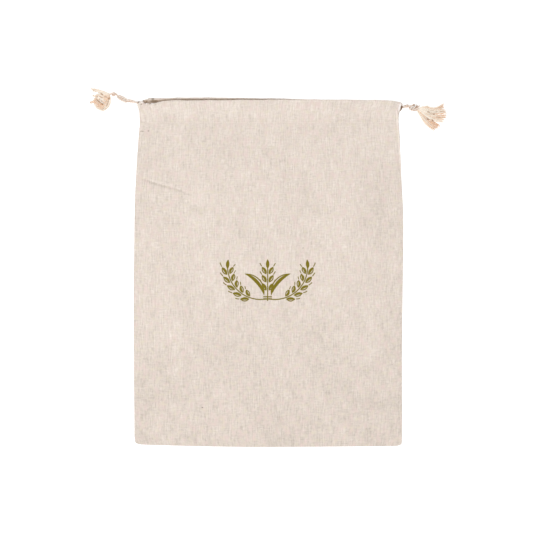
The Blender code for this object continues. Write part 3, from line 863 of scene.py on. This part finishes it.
class Finish:
    """A material for one kind of surface, with its Principled BSDF as shader."""

    def __init__(self, name, roughness, sheen=0.0):
        self.material = bpy.data.materials.new(name)
        self.material.use_nodes = True
        self.tree = self.material.node_tree
        self.shader = self.tree.nodes["Principled BSDF"]
        self.set("Roughness", roughness)
        self.set("Sheen Weight", sheen)

    def set(self, name, value):
        self.plug(self.shader.inputs[name], value)

    def plug(self, socket, value):
        if isinstance(value, Wire):
            self.tree.links.new(value.socket, socket)
        else:
            socket.default_value = value

    def node(self, kind, settings=None, inputs=None, output=0):
        """Adds a node, sets it up, then fills its sockets with values or links."""
        made = self.tree.nodes.new("ShaderNode" + kind)
        for name, value in (settings or {}).items():
            setattr(made, name, value)
        for name, value in (inputs or {}).items():
            self.plug(made.inputs[name], value)
        return Wire(self, made.outputs[output])

    def blend(self, share, first, second):
        """A colour between two colours."""
        made = self.tree.nodes.new("ShaderNodeMix")
        made.data_type = "RGBA"
        self.plug(made.inputs["Factor"], share)
        self.plug(made.inputs[6], first if isinstance(first, Wire) else (*first, 1.0))
        self.plug(made.inputs[7], second if isinstance(second, Wire) else (*second, 1.0))
        return Wire(self, made.outputs[2])

    def parts(self, vector):
        """The x, y and z of a vector."""
        made = self.tree.nodes.new("ShaderNodeSeparateXYZ")
        self.plug(made.inputs[0], vector)
        return [Wire(self, socket) for socket in made.outputs]

    def at(self, x, y, z=0.0):
        return self.node("CombineXYZ", inputs={"X": x, "Y": y, "Z": z})

    def cloud(self, place, sizes, detail=2.0, roughness=0.5):
        """Noise between -1 and 1, its blobs about as wide, high and deep as sizes says, in metres."""
        scaled = self.node(
            "VectorMath", {"operation": "MULTIPLY"}, {0: place, 1: [1 / size for size in sizes]}
        )
        inputs = {"Vector": scaled, "Scale": 1.0, "Detail": detail, "Roughness": roughness}
        return self.node("TexNoise", {"noise_dimensions": "3D"}, inputs) * 2.0 - 1.0


# %% [markdown]
# ## Cotton
#
# Cotton cord is soft and creamy, and light that falls between its threads comes out warmer: that
# warm shade is painted, low down and where strands meet. Its yarn is twisted, so fine slanting
# grooves run round each strand. They are drawn on the tube's map, with a groove wherever the way
# round and the way along add up to a whole number, and painted a little darker as shade. Threads
# that lie together take a like tone in bundles, and soft spots of painted shade and painted light
# set the deepest shade and the brightest light between them.


# %% Shade and light between the yarns, in millimetres
# Each spot: x, y, half length, half width, lean in degrees, strength.
YARN_SHADE = [
    (-187, 199.4, 2.4, 0.8, -40, 0.7), (-187.9, 195.9, 2.3, 0.7, -30, 0.6),
    (-191, 191.6, 4.8, 0.75, -46, 0.65), (-186.8, 188.2, 1.5, 1, -20, 0.8),
    (-178.9, 194.4, 1.7, 1.2, 70, 0.8), (-182.6, 196.4, 2.6, 0.9, -15, 0.5),
    (-180.9, 188, 3.4, 0.8, 68, 0.5), (-186, 182.8, 2.2, 0.7, 25, 0.4),
    (164, 187.6, 3, 0.65, 42, 0.8), (166.7, 185.3, 3.2, 0.65, 48, 0.75),
    (154.6, 187, 1.9, 0.6, 12, 0.45), (-179.8, 191, 1.6, 0.8, 75, 0.5),
    (179.1, 171.9, 1.8, 0.8, -35, 0.8), (184.9, 170.2, 2, 0.6, -33, 0.9),
    (186.4, 177, 1.6, 1, -10, 0.5), (180.4, 179.2, 2.2, 0.8, -25, 0.45),
    (191.4, 173.7, 3, 0.9, -8, 0.45),
]
YARN_LIGHT = [
    (-189, 194.6, 4.8, 0.7, -38, 0.85), (-187.7, 191, 3.2, 0.65, -38, 0.8),
    (-190.6, 199.8, 1.8, 0.9, -20, 0.8), (-184.6, 189.2, 3, 0.7, -50, 0.5),
    (165.4, 186.2, 3, 0.7, 46, 1), (162, 184.8, 2.4, 0.9, 46, 0.9),
]


def spots(x, y, table):
    """How strongly a table's soft spots show at each place, from 0 to 1."""
    dark = None
    for cx, cy, half_length, half_width, lean, strength in table:
        turn = math.radians(lean)
        dx, dy = x - cx * MM, y - cy * MM
        along = (dx * math.cos(turn) + dy * math.sin(turn)) / (half_length * MM)
        off = (dy * math.cos(turn) - dx * math.sin(turn)) / (half_width * MM)
        here = (along * along + off * off).rise(0.3, 1.2, strength, 0.0)
        dark = here if dark is None else dark.larger(here)
    return dark


# %% Cotton
CHANNEL_FROM = -0.1468
CHANNEL_TO = 0.1516
EXIT_TOP = 0.1868
CORD_SHADE = (0.22, 0.10, 0.04)
BUNDLE = 4


def cotton(name, light, deep, twist, low, high, laid=True):
    """Soft twisted cotton, warm and dark below low and pale above high, both in metres.

    The dark below low is painted shade and the pale above high painted light. twist is the length
    of yarn in which its grooves go round once; the grooves are painted a little darker, as shade.
    A laid cord has painted shade where its strands meet. Between the channel's ends the cloth's
    shade on it is painted brown.
    """
    finish = Finish(name, 0.92, sheen=0.15)
    around, along, _ = finish.parts(finish.node("UVMap", {"uv_map": "yarn"}))
    place = finish.node("TexCoord", output="Object")
    x, y, height = finish.parts(place)
    turns = (around * 3.0 + along / twist).math("FRACT") - 0.5
    ridge = 1.0 - (turns * 2.0).math("POWER", 2.0)
    fibre = finish.cloud(finish.at(around * 0.0022 + along * 0.25, along), (0.00022, 0.0022, 1.0), 3.0)
    patch = finish.cloud(place, (0.003, 0.003, 0.003))
    number = (around / TURNS_APART).math("FLOOR")
    yarn = finish.node("TexWhiteNoise", {"noise_dimensions": "1D"}, {"W": number})
    # ridge makes the twist's grooves darker in the tone: painted shade.
    tone = ridge * 0.26 + fibre * 0.22 + patch * 0.18
    if laid:
        # Painted shade where the strands meet, and painted shade low down with painted light high up.
        from_outside = abs((around + 0.5).math("FRACT") - 0.5)
        tone = tone + yarn * 0.2 + 0.66 - from_outside.rise(0.12, 0.27, 0.0, 0.85)
        tone = tone + height.rise(low, high, -0.36, 0.40)
    else:
        bundle = (around / (TURNS_APART * BUNDLE)).math("FLOOR") + 0.5
        bundle = finish.node("TexWhiteNoise", {"noise_dimensions": "1D"}, {"W": bundle})
        # Tones that differ by yarn and by bundle, with painted shade low down and painted light high up.
        tone = tone + yarn * 0.35 + bundle * 0.60 + 0.08 + height.rise(low, high, -0.22, 0.30)
    # Painted brown shade of the cloth on the cord between the channel's ends; at the right only below
    # EXIT_TOP.
    shaded = x.rise(CHANNEL_FROM, CHANNEL_FROM + 0.001) * x.rise(CHANNEL_TO - 0.001, CHANNEL_TO, 0.9, 0.0)
    below_fold = y.rise(EXIT_TOP - 0.0005, EXIT_TOP + 0.0005, 1.0, 0.0)
    shaded = shaded * below_fold.larger(x.rise(0.0, 0.1, 1.0, 0.0))
    color = finish.blend(tone, deep, light)
    # Painted highlights and painted shade between the yarns.
    color = finish.blend(spots(x, y, YARN_LIGHT), color, (1.0, 0.97, 0.93))
    color = finish.blend(spots(x, y, YARN_SHADE), color, (0.42, 0.20, 0.08))
    finish.set("Base Color", finish.blend(shaded, color, CORD_SHADE))
    bump = finish.node("Bump", inputs={
        "Strength": 0.6, "Distance": 0.00018, "Height": ridge * 0.7 + fibre * 0.35,
    })
    finish.set("Normal", bump)
    return finish.material


cord_cotton = cotton("cotton_cord", (1.0, 0.91, 0.82), (0.68, 0.38, 0.20), 0.0016, 0.0, 0.005)
thread_cotton = cotton(
    "cotton_threads", (1.0, 0.90, 0.775), (0.80, 0.41, 0.18), 0.0014, 0.0008, 0.0042, laid=False
)
for obj in (left_cord, right_cord, left_tassel, right_tassel):
    obj.data.materials.append(cord_cotton)
for obj in (left_tassel, right_tassel):
    obj.data.materials.append(thread_cotton)

# %% [markdown]
# ## Linen
#
# The cloth is a plain weave of unbleached linen: warp up the bag and weft across it, about 16
# threads to the centimetre. Linen yarn is uneven. Thick places, called slubs, make short pale or
# grey streaks, most of them along the warp, and bits of husk leave a few dark specks. Slow clouds
# of pinker and yellower cloth lie under all that.

# %% Weave
WARP_PITCH = 0.00062
WEFT_PITCH = 0.00066
LINEN_GREY = (0.580, 0.505, 0.440)
LINEN_PALE = (0.990, 0.885, 0.800)
LINEN_PINK = (0.84, 0.665, 0.62)
LINEN_YELLOW = (0.80, 0.72, 0.56)
LINEN_MEAN = 0.455


def weave(finish, x, y):
    """Height of a plain weave, 0 in the holes and 1 on top of a thread."""
    warp, weft = x / WARP_PITCH, y / WEFT_PITCH
    over = ((warp.math("FLOOR") + weft.math("FLOOR")) * 0.5).math("FRACT") * 2.0
    warp_round = 1.0 - ((warp.math("FRACT") - 0.5) * 2.0).math("POWER", 2.0)
    weft_round = 1.0 - ((weft.math("FRACT") - 0.5) * 2.0).math("POWER", 2.0)
    warp_top = warp_round * (0.55 + weft_round * 0.45)
    weft_top = weft_round * (0.55 + warp_round * 0.45)
    return warp_top * over + weft_top * (1.0 - over)


# %% Specks of husk, and painted light and shade of small folds and dents: spots as those of the yarns
SPECKS = [
    (-73.9, -152.6, 1.15, 0.45, -8, 0.85), (39.1, 26.4, 1.2, 0.42, 84, 0.6),
    (28.0, 130.9, 1.0, 0.45, 100, 0.45), (-117.3, -107.4, 0.7, 0.4, 60, 0.35),
    (139.4, -104.7, 0.9, 0.45, 95, 0.35), (74.6, -113.5, 0.8, 0.5, 20, 0.25),
    (-37.6, 95.4, 1.0, 0.5, 92, 0.3), (-128.8, 189.2, 1.0, 0.5, 10, 0.2),
    (-57.6, -98.3, 0.9, 0.45, 5, 0.3), (-94.3, -149.3, 0.6, 0.4, 30, 0.25),
]
FOLD_HIGHLIGHTS = [
    (-141.8, 190.2, 1.6, 0.95, 105, 0.9), (-136.6, 188.1, 1.3, 1.0, 60, 0.9),
    (-129.7, 188.2, 2.0, 0.9, 12, 0.9), (-144.6, 188.6, 1.2, 0.6, 55, 0.5),
    (147.4, 184.5, 5.4, 1.4, 76, 0.9),
]
MOUTH_SHADE = [
    (-128.6, 191.2, 5.4, 1.2, 4, 0.62), (-129.7, 193.8, 2.4, 1.7, 90, 0.55),
    (-136.8, 190.4, 1.6, 1.1, 60, 0.5), (-141.2, 191.4, 1.2, 0.9, 90, 0.35),
]
FOLD_SHADE = [
    (-142.3, 187.5, 1.3, 0.65, 42, 0.6), (-139.2, 188.6, 1.3, 0.7, 100, 0.5),
    (-133.3, 187.6, 1.1, 0.6, 85, 0.35), (-126.6, 186.9, 1.3, 0.6, 80, 0.25),
    (-134.4, 157.7, 1.4, 1.2, 90, 0.36), (-142.0, 157.6, 2.6, 0.95, 0, 0.32),
    (-140.6, 167.3, 3.2, 0.95, 0, 0.18),
]


# %% [markdown]
# ## The print
#
# A little design in olive ink sits on the middle of the front. Here it is a plain country motif:
# three ears of wheat that grow from one band, two of them bent outwards, and a long leaf on each
# side. An ear is drawn once, in a strip: how far up its stem a place is, and how far from it.
# Bending the strip round a circle gives the outer ears, and taking the way across without its
# sign gives both of them at once.

# %% One ear of wheat, in millimetres
PRINT_MIDDLE = (-0.6, -8.4)
GRAIN_PITCH = 9.2
GRAIN_LENGTH = 5.25
GRAIN_WIDTH = 2.75
GRAIN_LEAN = math.radians(30)
GRAIN_OFF_STEM = 3.9
LINE = 1.3
STEM = 0.95
BRISTLE = 0.82
SOFT = 0.3


def inside(distance):
    """1 where distance is above zero, with an edge as soft as ink on cloth."""
    return distance.rise(0.0, 2 * SOFT)


def between(value, low, high):
    return inside(value - low) * inside(high - value)


def on_grain(up, off):
    """How far along a leaning grain a place is, and how far to its side."""
    off = off - GRAIN_OFF_STEM
    along = up * math.cos(GRAIN_LEAN) + off * math.sin(GRAIN_LEAN)
    return along, off * math.cos(GRAIN_LEAN) - up * math.sin(GRAIN_LEAN)


def grain(up, off):
    """Ink of one grain: a pointed outline with its inner half filled."""
    along, aside = on_grain(up, off)
    share = along / GRAIN_LENGTH
    width = (1.0 - share * share) * GRAIN_WIDTH
    whole = inside(width - abs(aside))
    return whole * (1.0 - inside(width - LINE - abs(aside)) * inside(aside - 0.2))


def bristle(up, off):
    """Ink of the bristle that goes on from a grain's tip."""
    along, aside = on_grain(up, off)
    return inside(BRISTLE - abs(aside)) * between(along, GRAIN_LENGTH - 0.8, GRAIN_LENGTH + 4.6)


def ear(up, off, first, grains):
    """Ink of a stem with pairs of grains from first upwards."""
    within = (((up - first) / GRAIN_PITCH).math("FRACT") - 0.5) * GRAIN_PITCH
    last = first + grains * GRAIN_PITCH
    ink = grain(within, off) * between(up, first, last)
    has_bristle = between(up, first + GRAIN_PITCH, last + GRAIN_PITCH)
    ink = ink.larger(bristle(within + GRAIN_PITCH, off) * has_bristle)
    stem = inside(STEM - off) * between(up, 0.0, last)
    share = (up - last - 2.6) / 6.0
    tip = inside((1.0 - share * share) * 2.3 - off)
    return ink.larger(stem).larger(tip)


def leaf(across_print, up):
    """Ink of a long leaf bent round a circle: an outline, a rib, and one side filled."""
    middle_x, middle_y, radius, low, high = 31.8, -21.5, 28.0, 100.0, 176.0
    dx, dy = across_print - middle_x, up - middle_y
    away = (dx * dx + dy * dy).math("SQRT") - radius
    turn = dy.math("ARCTAN2", dx) * (180 / math.pi)
    share = (turn - low) / (high - low) * 2.0 - 1.0
    width = (1.0 - share * share) * 3.4
    open_side = inside(width - LINE - abs(away)) * inside(away - 0.5)
    return inside(width - abs(away)) * (1.0 - open_side)


def wheat_print(x, y, ragged):
    """Ink of the whole design, 0 to 1. ragged moves its edges a little, as ink creeps in threads."""
    side = abs(x / MM - PRINT_MIDDLE[0]) + ragged
    up = y / MM - PRINT_MIDDLE[1] + ragged
    straight = ear(up + 25.0, side, 11.5, 3)
    middle_x, middle_y, radius = 8.0, 14.0, 37.0
    dx, dy = side - middle_x, up - middle_y
    away = (dx * dx + dy * dy).math("SQRT")
    turn = dx.math("ARCTAN2", -dy)
    bent = ear((turn + 0.15) * radius, abs(away - radius), 17.5, 5) * inside(side)
    band = between(up, -23.6, -19.0) * inside(5.2 - side) * (1.0 - between(up, -21.9, -20.4))
    return straight.larger(bent).larger(leaf(side, up)).larger(band)


# %% Linen
INK = (0.190, 0.148, 0.001)
INK_THIN = (0.250, 0.195, 0.010)
HEM_SHADE = (0.36, 0.23, 0.14)
UPPER_LAYER = (0.0024, 0.0032)


def painted_channel_light(x, y):
    """Painted light on the raised channel, strongest at the left, and on the fold along its top edge."""
    return y.rise(0.1665, 0.1790) * x.rise(-0.110, -0.040, 1.0, 0.6) + y.rise(0.1885, 0.1925)


def painted_crease_shading(x, y):
    """Painted light and shade of the old fold along the groove: a dark line, and a paler one above it."""
    along, off, length = along_groove(x / MM, y / MM)
    off = off + (along / GROOVE_SWAY).math("SINE") * 0.5
    fade = along.rise(-3.0, 9.0) * along.rise(length - 22.0, length + 3.0, 1.0, 0.0)
    return (abs(off - 2.6).rise(0.4, 2.0, 0.08, 0.0) - abs(off).rise(0.3, 2.0, 0.28, 0.0)) * fade


def seam_highlight(x, y):
    """A painted highlight where the right side is folded over its seam, and a duller strip outside it."""
    line = 0.1437 + (0.182 - y) * 0.085
    here = y.rise(0.072, 0.100) * y.rise(0.1795, 0.1825, 1.0, 0.0)
    off = (x - line) * 1000
    return (abs(off).rise(0.4, 1.2, 0.45, 0.0) - off.rise(0.7, 1.3, 0.0, 0.12)) * here


def hem_shade(x, y, z, uneven):
    """How deep in shade the upper side of the back's hem is: under the mouth and at the right exit."""
    limit = x.rise(-0.135, -0.105, 0.1926, 0.1942) - x.rise(0.0, 0.115, 0.0, 0.0040)
    mouth = (limit - y).rise(-0.0005, 0.0006) * z.rise(*UPPER_LAYER) * y.rise(0.1845, 0.1875)
    exit_side = x.rise(0.1478, 0.1486, 0.0, 0.9) * y.rise(0.1790, 0.1805) * y.rise(0.1862, 0.1872, 1.0, 0.0)
    return (mouth * uneven.rise(-0.5, 0.5, 0.45, 0.85)).larger(exit_side)


def linen(name, printed):
    """Unbleached linen. The weave and its slubs lie on the cloth's own flat map."""
    finish = Finish(name, 0.95, sheen=0.12)
    flat = finish.node("UVMap", {"uv_map": "flat"})
    across_cloth, up_cloth, _ = finish.parts(flat)
    place = finish.node("TexCoord", output="Object")
    x, y, z = finish.parts(place)
    drift = finish.cloud(flat, (0.012, 0.03, 1.0)) * 0.00018
    woven = weave(finish, across_cloth + drift, up_cloth + drift)
    warp_slub = finish.cloud(flat, (0.0013, 0.013, 1.0), 3.0, 0.6)
    weft_slub = finish.cloud(flat, (0.009, 0.0013, 1.0), 3.0, 0.6)
    mottle = finish.cloud(flat, (0.0024, 0.0030, 1.0), 3.0, 0.7)
    cloudy = finish.cloud(flat, (0.012, 0.02, 1.0), 3.0)
    slow = finish.cloud(flat, (0.050, 0.075, 1.0), 2.0)
    tone = warp_slub * 0.62 + weft_slub * 0.36 + mottle * 0.38 + cloudy * 0.20 + slow * 0.20
    # The weave's holes are painted a little darker and its thread tops paler: painted shade.
    tone = tone + woven * 0.09 + LINEN_MEAN
    if printed:
        # Painted shade: the front darker towards the foot. Painted light: the raised channel paler.
        tone = tone + y.smaller(0.0) * 0.85 + painted_channel_light(x, y) * 0.14
        # Painted light and shade along the crease, and a painted highlight on the right seam's fold.
        tone = tone + painted_crease_shading(x, y) + seam_highlight(x, y)
    color = finish.blend(tone, LINEN_GREY, LINEN_PALE)
    pink = finish.cloud(place, (0.0055, 0.008, 0.01), 3.0).rise(-0.15, 0.6, 0.0, 0.72)
    yellow = finish.cloud(flat, (0.0060, 0.0050, 1.0), 3.0).rise(-0.1, 0.6, 0.0, 0.66)
    color = finish.blend(pink, color, LINEN_PINK)
    color = finish.blend(yellow, color, LINEN_YELLOW)
    height = woven * 0.5 + warp_slub * 0.5 + weft_slub * 0.4 + mottle * 0.4
    if printed:
        # Painted highlights on small folds, and painted shade in folds and dents.
        color = finish.blend(spots(x, y, FOLD_HIGHLIGHTS), color, (1.0, 0.93, 0.90))
        color = finish.blend(spots(x, y, FOLD_SHADE), color, (0.22, 0.15, 0.09))
        color = finish.blend(spots(x, y, SPECKS), color, (0.16, 0.12, 0.10))
        ragged = finish.cloud(flat, (0.0009, 0.0009, 1.0), 2.0) * 0.3
        ink = wheat_print(x, y, ragged)
        ink_color = finish.blend((woven * 0.55 + mottle * 0.5).rise(-0.2, 0.6), INK_THIN, INK)
        color = finish.blend(ink, color, ink_color)
    else:
        uneven = finish.cloud(place, (0.004, 0.002, 0.002))
        color = finish.blend(hem_shade(x, y, z, uneven), color, HEM_SHADE)
        mouth_shade = spots(x, y, MOUTH_SHADE) * z.rise(*UPPER_LAYER)
        color = finish.blend(mouth_shade, color, (0.13, 0.09, 0.04))
    finish.set("Base Color", color)
    bump = finish.node("Bump", inputs={"Strength": 0.5, "Distance": 0.00012, "Height": height})
    finish.set("Normal", bump)
    return finish.material


front_linen = linen("linen_printed", True)
plain_linen = linen("linen_plain", False)
front_cloth.data.materials.append(front_linen)
front_cloth.data.materials.append(plain_linen)
back_cloth.data.materials.append(plain_linen)
back_cloth.data.materials.append(plain_linen)

# %% Sewing thread
thread = Finish("sewing_thread", 0.8)
thread_place = thread.node("TexCoord", output="Object")
thread_tone = thread.cloud(thread_place, (0.0004, 0.0004, 0.0004), 3.0).rise(-0.6, 0.6)
thread.set("Base Color", thread.blend(thread_tone, (0.84, 0.74, 0.66), (0.97, 0.89, 0.81)))
stitches.data.materials.append(thread.material)

# %% [markdown]
# ## Table and light
#
# The bag lies on a white table under soft light. The sky gives most of the light from all round,
# and one wide lamp, high up and a little to the front left, gives the folds their faint shade. The
# table shines a little of its own, so that it comes out white where the bag would shade it.

# %% Table
TABLE_GLOW = 0.75
deselect()
bpy.ops.mesh.primitive_plane_add(size=8, location=(0, 0, 0))
table = bpy.context.object
table.name = "table"
table_finish = Finish("white_table", 0.9)
table_place = table_finish.node("TexCoord", output="Object")
table_tone = table_finish.cloud(table_place, (0.6, 0.6, 0.6)).rise(-1.0, 1.0)
table_finish.set("Base Color", table_finish.blend(table_tone, (0.49, 0.49, 0.49), (0.51, 0.51, 0.51)))
table_finish.set("Emission Color", (1.0, 1.0, 1.0, 1.0))
table_finish.set("Emission Strength", TABLE_GLOW)
table.data.materials.append(table_finish.material)
table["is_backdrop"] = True

# %% Light
SKY = 0.48
LAMP_PLACE = (-0.25, -0.30, 2.3)
LAMP_SIDES = (0.9, 0.7)
LAMP_POWER = 30
world = bpy.data.worlds.new("studio")
world.use_nodes = True
world.node_tree.nodes["Background"].inputs["Color"].default_value = (1.0, 1.0, 1.0, 1.0)
world.node_tree.nodes["Background"].inputs["Strength"].default_value = SKY
bpy.context.scene.world = world
bpy.ops.object.light_add(type="AREA", location=LAMP_PLACE)
lamp = bpy.context.object
lamp.name = "wide_lamp"
lamp.data.shape = "RECTANGLE"
lamp.data.size, lamp.data.size_y = LAMP_SIDES
lamp.data.energy = LAMP_POWER
lamp.rotation_euler = (Vector((0, 0, 0)) - lamp.location).to_track_quat("-Z", "Y").to_euler()
bpy.context.scene.view_settings.view_transform = "Standard"

# %% [markdown]
# ## Handing the pieces over
#
# Each piece stands for its solid, which is hidden, and rides on the one body that the bag has.

# %% Cords and tassels
for cord, line, tassel, side, leaves in (
    (left_cord, left_line, left_tassel, "left", (-0.148, 0.189, 0.0058)),
    (right_cord, right_line, right_tassel, "right", (0.150, 0.1851, 0.007)),
):
    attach(cord, "root")
    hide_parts(f"drawstring_{side}")
    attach(tassel, "root")
    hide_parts(f"tassel_{side}")

# %% Cloths and stitches
for cloth, flat, node, under in (
    (front_cloth, front_flat, "front_panel", "back_cloth"),
    (back_cloth, back_flat, "back_panel", "table"),
):
    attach(cloth, "root")
    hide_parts(node)
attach(stitches, "root")

# %% Sizes, and the end
visual_box = [list(corner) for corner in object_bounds()]
for name, (low, high) in (("solids", cad_box), ("pieces", visual_box)):
    print(name, [round((b - a) * 1000, 1) for a, b in zip(low, high)], "mm")
